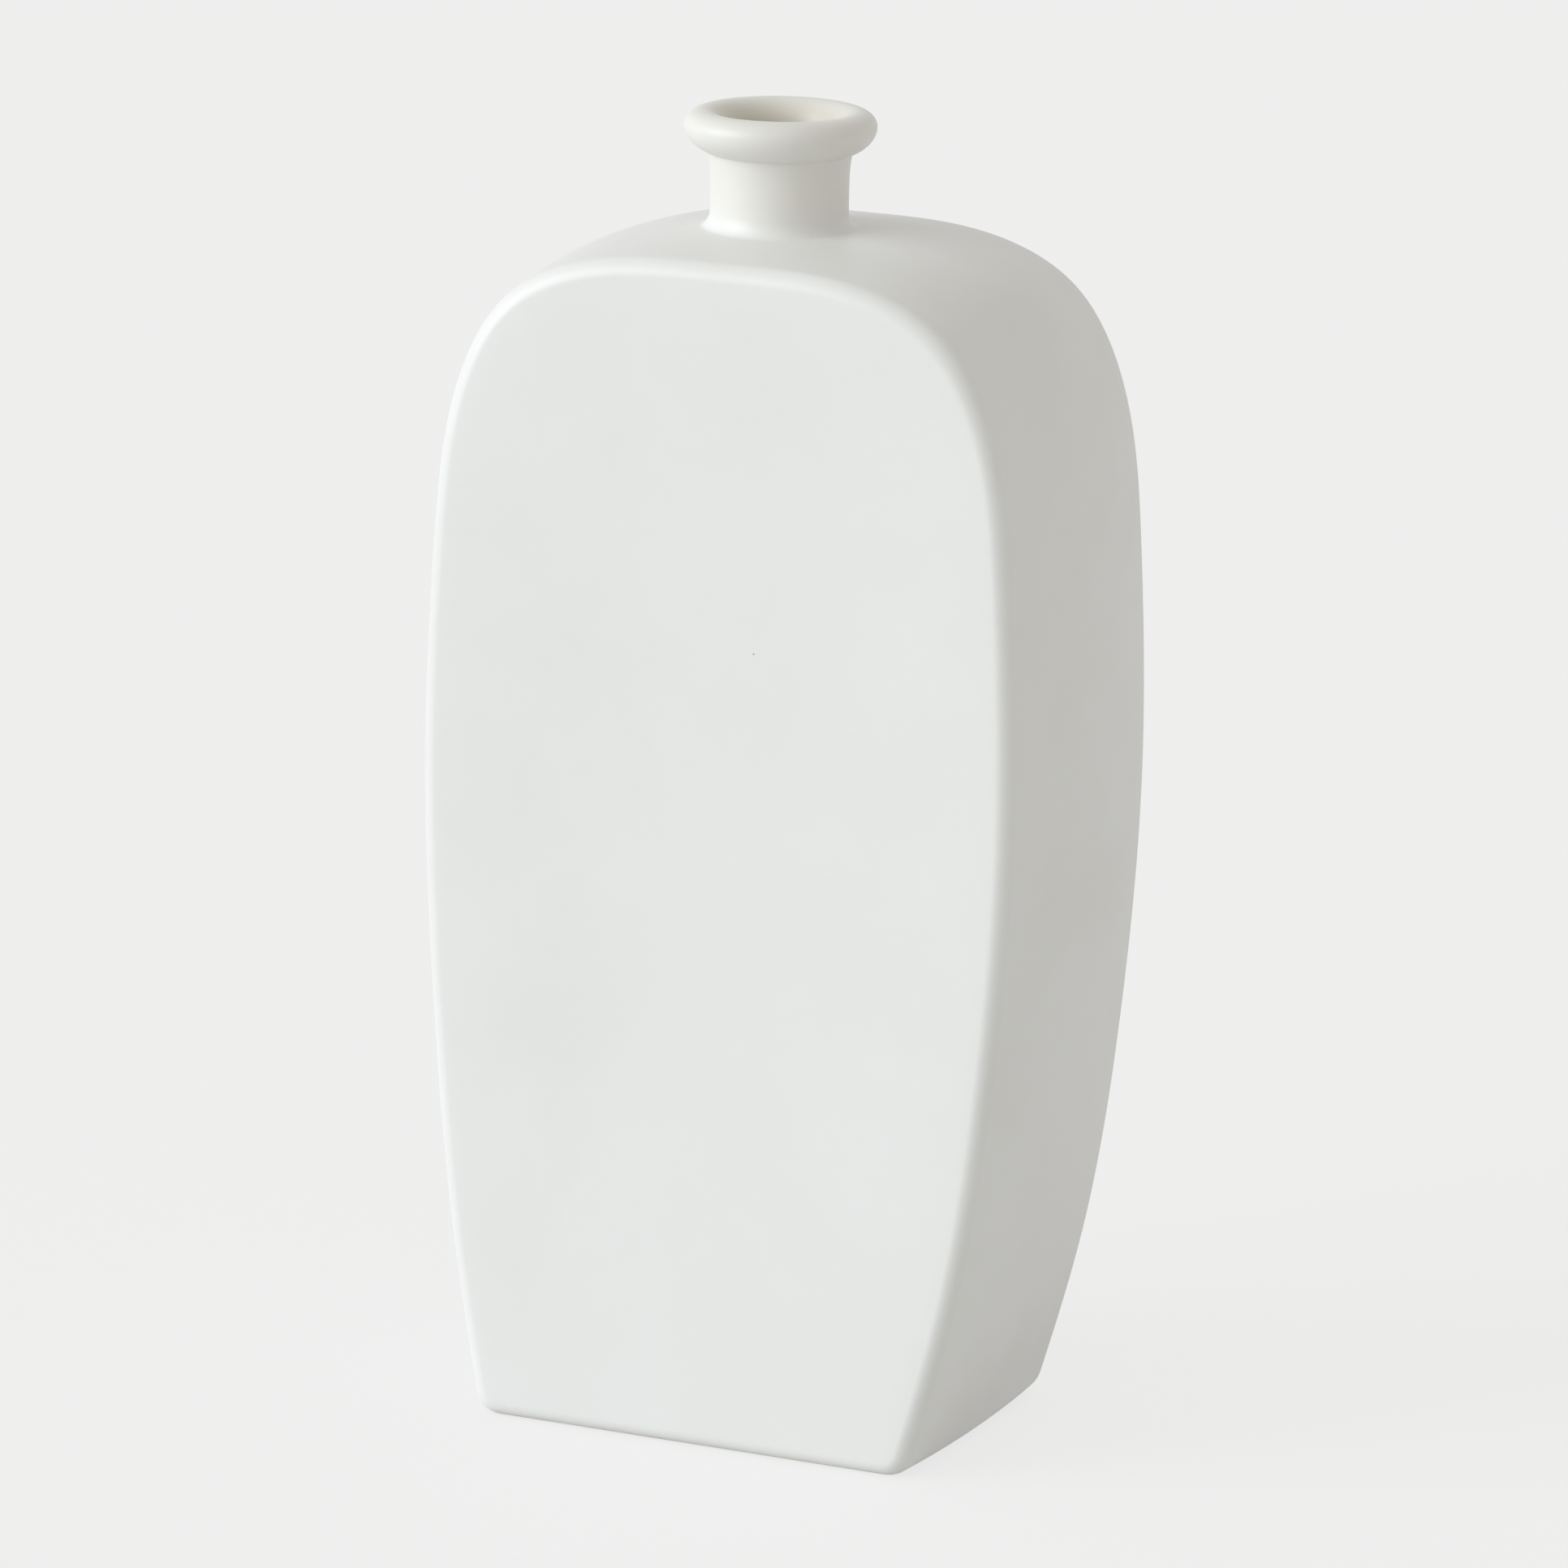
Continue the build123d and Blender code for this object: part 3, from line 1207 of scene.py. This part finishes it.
@dataclass
class BudVase:
    """The whole vase, sized from its packed clay pieces."""

    neck_flare: float = 0.5 * MM  # how much wider the collar is at its top

    def build(self) -> None:
        """Build every piece from the foot up and dress it."""
        panel_low, panel_high = (Vector(corner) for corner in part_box("back_panel"))
        _, base_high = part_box("base_slab")
        collar_low, collar_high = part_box("neck_collar")
        rim_low, rim_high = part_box("rolled_rim")
        mouth = next(one for one in frame["record"]["mounts"] if one["name"] == "mouth")
        throat = mouth["dims"]["r_mm"] * MM
        outline = FlaskOutline(low=panel_low, high=panel_high)
        fullness = Fullness(outline, half_width=panel_low.y)
        neck_top_radius = collar_high[0]
        neck_radius = neck_top_radius - self.neck_flare
        glaze = SatinGlaze(crest=rim_high[2], throat=throat).material()
        clay = BareClay().material()

        slab = BaseSlab(outline, base_high[1], base_high[2], fullness)
        finish_piece(slab.build(), clay, "base_slab")
        for side in Side:
            strip = SideStrip(outline, side, panel_low.y, neck_radius, fullness)
            finish_piece(strip.build(), glaze, f"{side.name.lower()}_side_strip")
        for face in Face:
            panel = BroadPanel(outline, face, panel_low.y, panel_high.y, fullness)
            finish_piece(panel.build(), glaze, f"{face.name.lower()}_panel")
        collar = NeckCollar(
            outline, throat, neck_radius, neck_top_radius, low=collar_low[2], top=collar_high[2]
        )
        finish_piece(collar.build(), glaze, "neck_collar")
        coil = NeckCoil(outline, neck_radius, fullness)
        finish_piece(coil.build(), glaze, "neck_coil")
        rim = RolledRim(throat, neck_top_radius, rim_high[0], low=rim_low[2], top=rim_high[2])
        finish_piece(rim.build(), glaze, "rolled_rim")


def main() -> None:
    """Build the vase and its studio."""
    logging.basicConfig(level=logging.INFO, format="%(name)s: %(message)s")
    clay_box = [list(map(float, corner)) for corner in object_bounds()]
    BudVase().build()
    middle = Vector((clay_box[0][0] + clay_box[1][0], 0, 0)) / 2
    Studio(aim=middle + Vector((0, 0, clay_box[1][2] * AIM_HEIGHT))).build()
    LOG.info("clay box %s", clay_box)


if __name__ == "__main__":
    main()
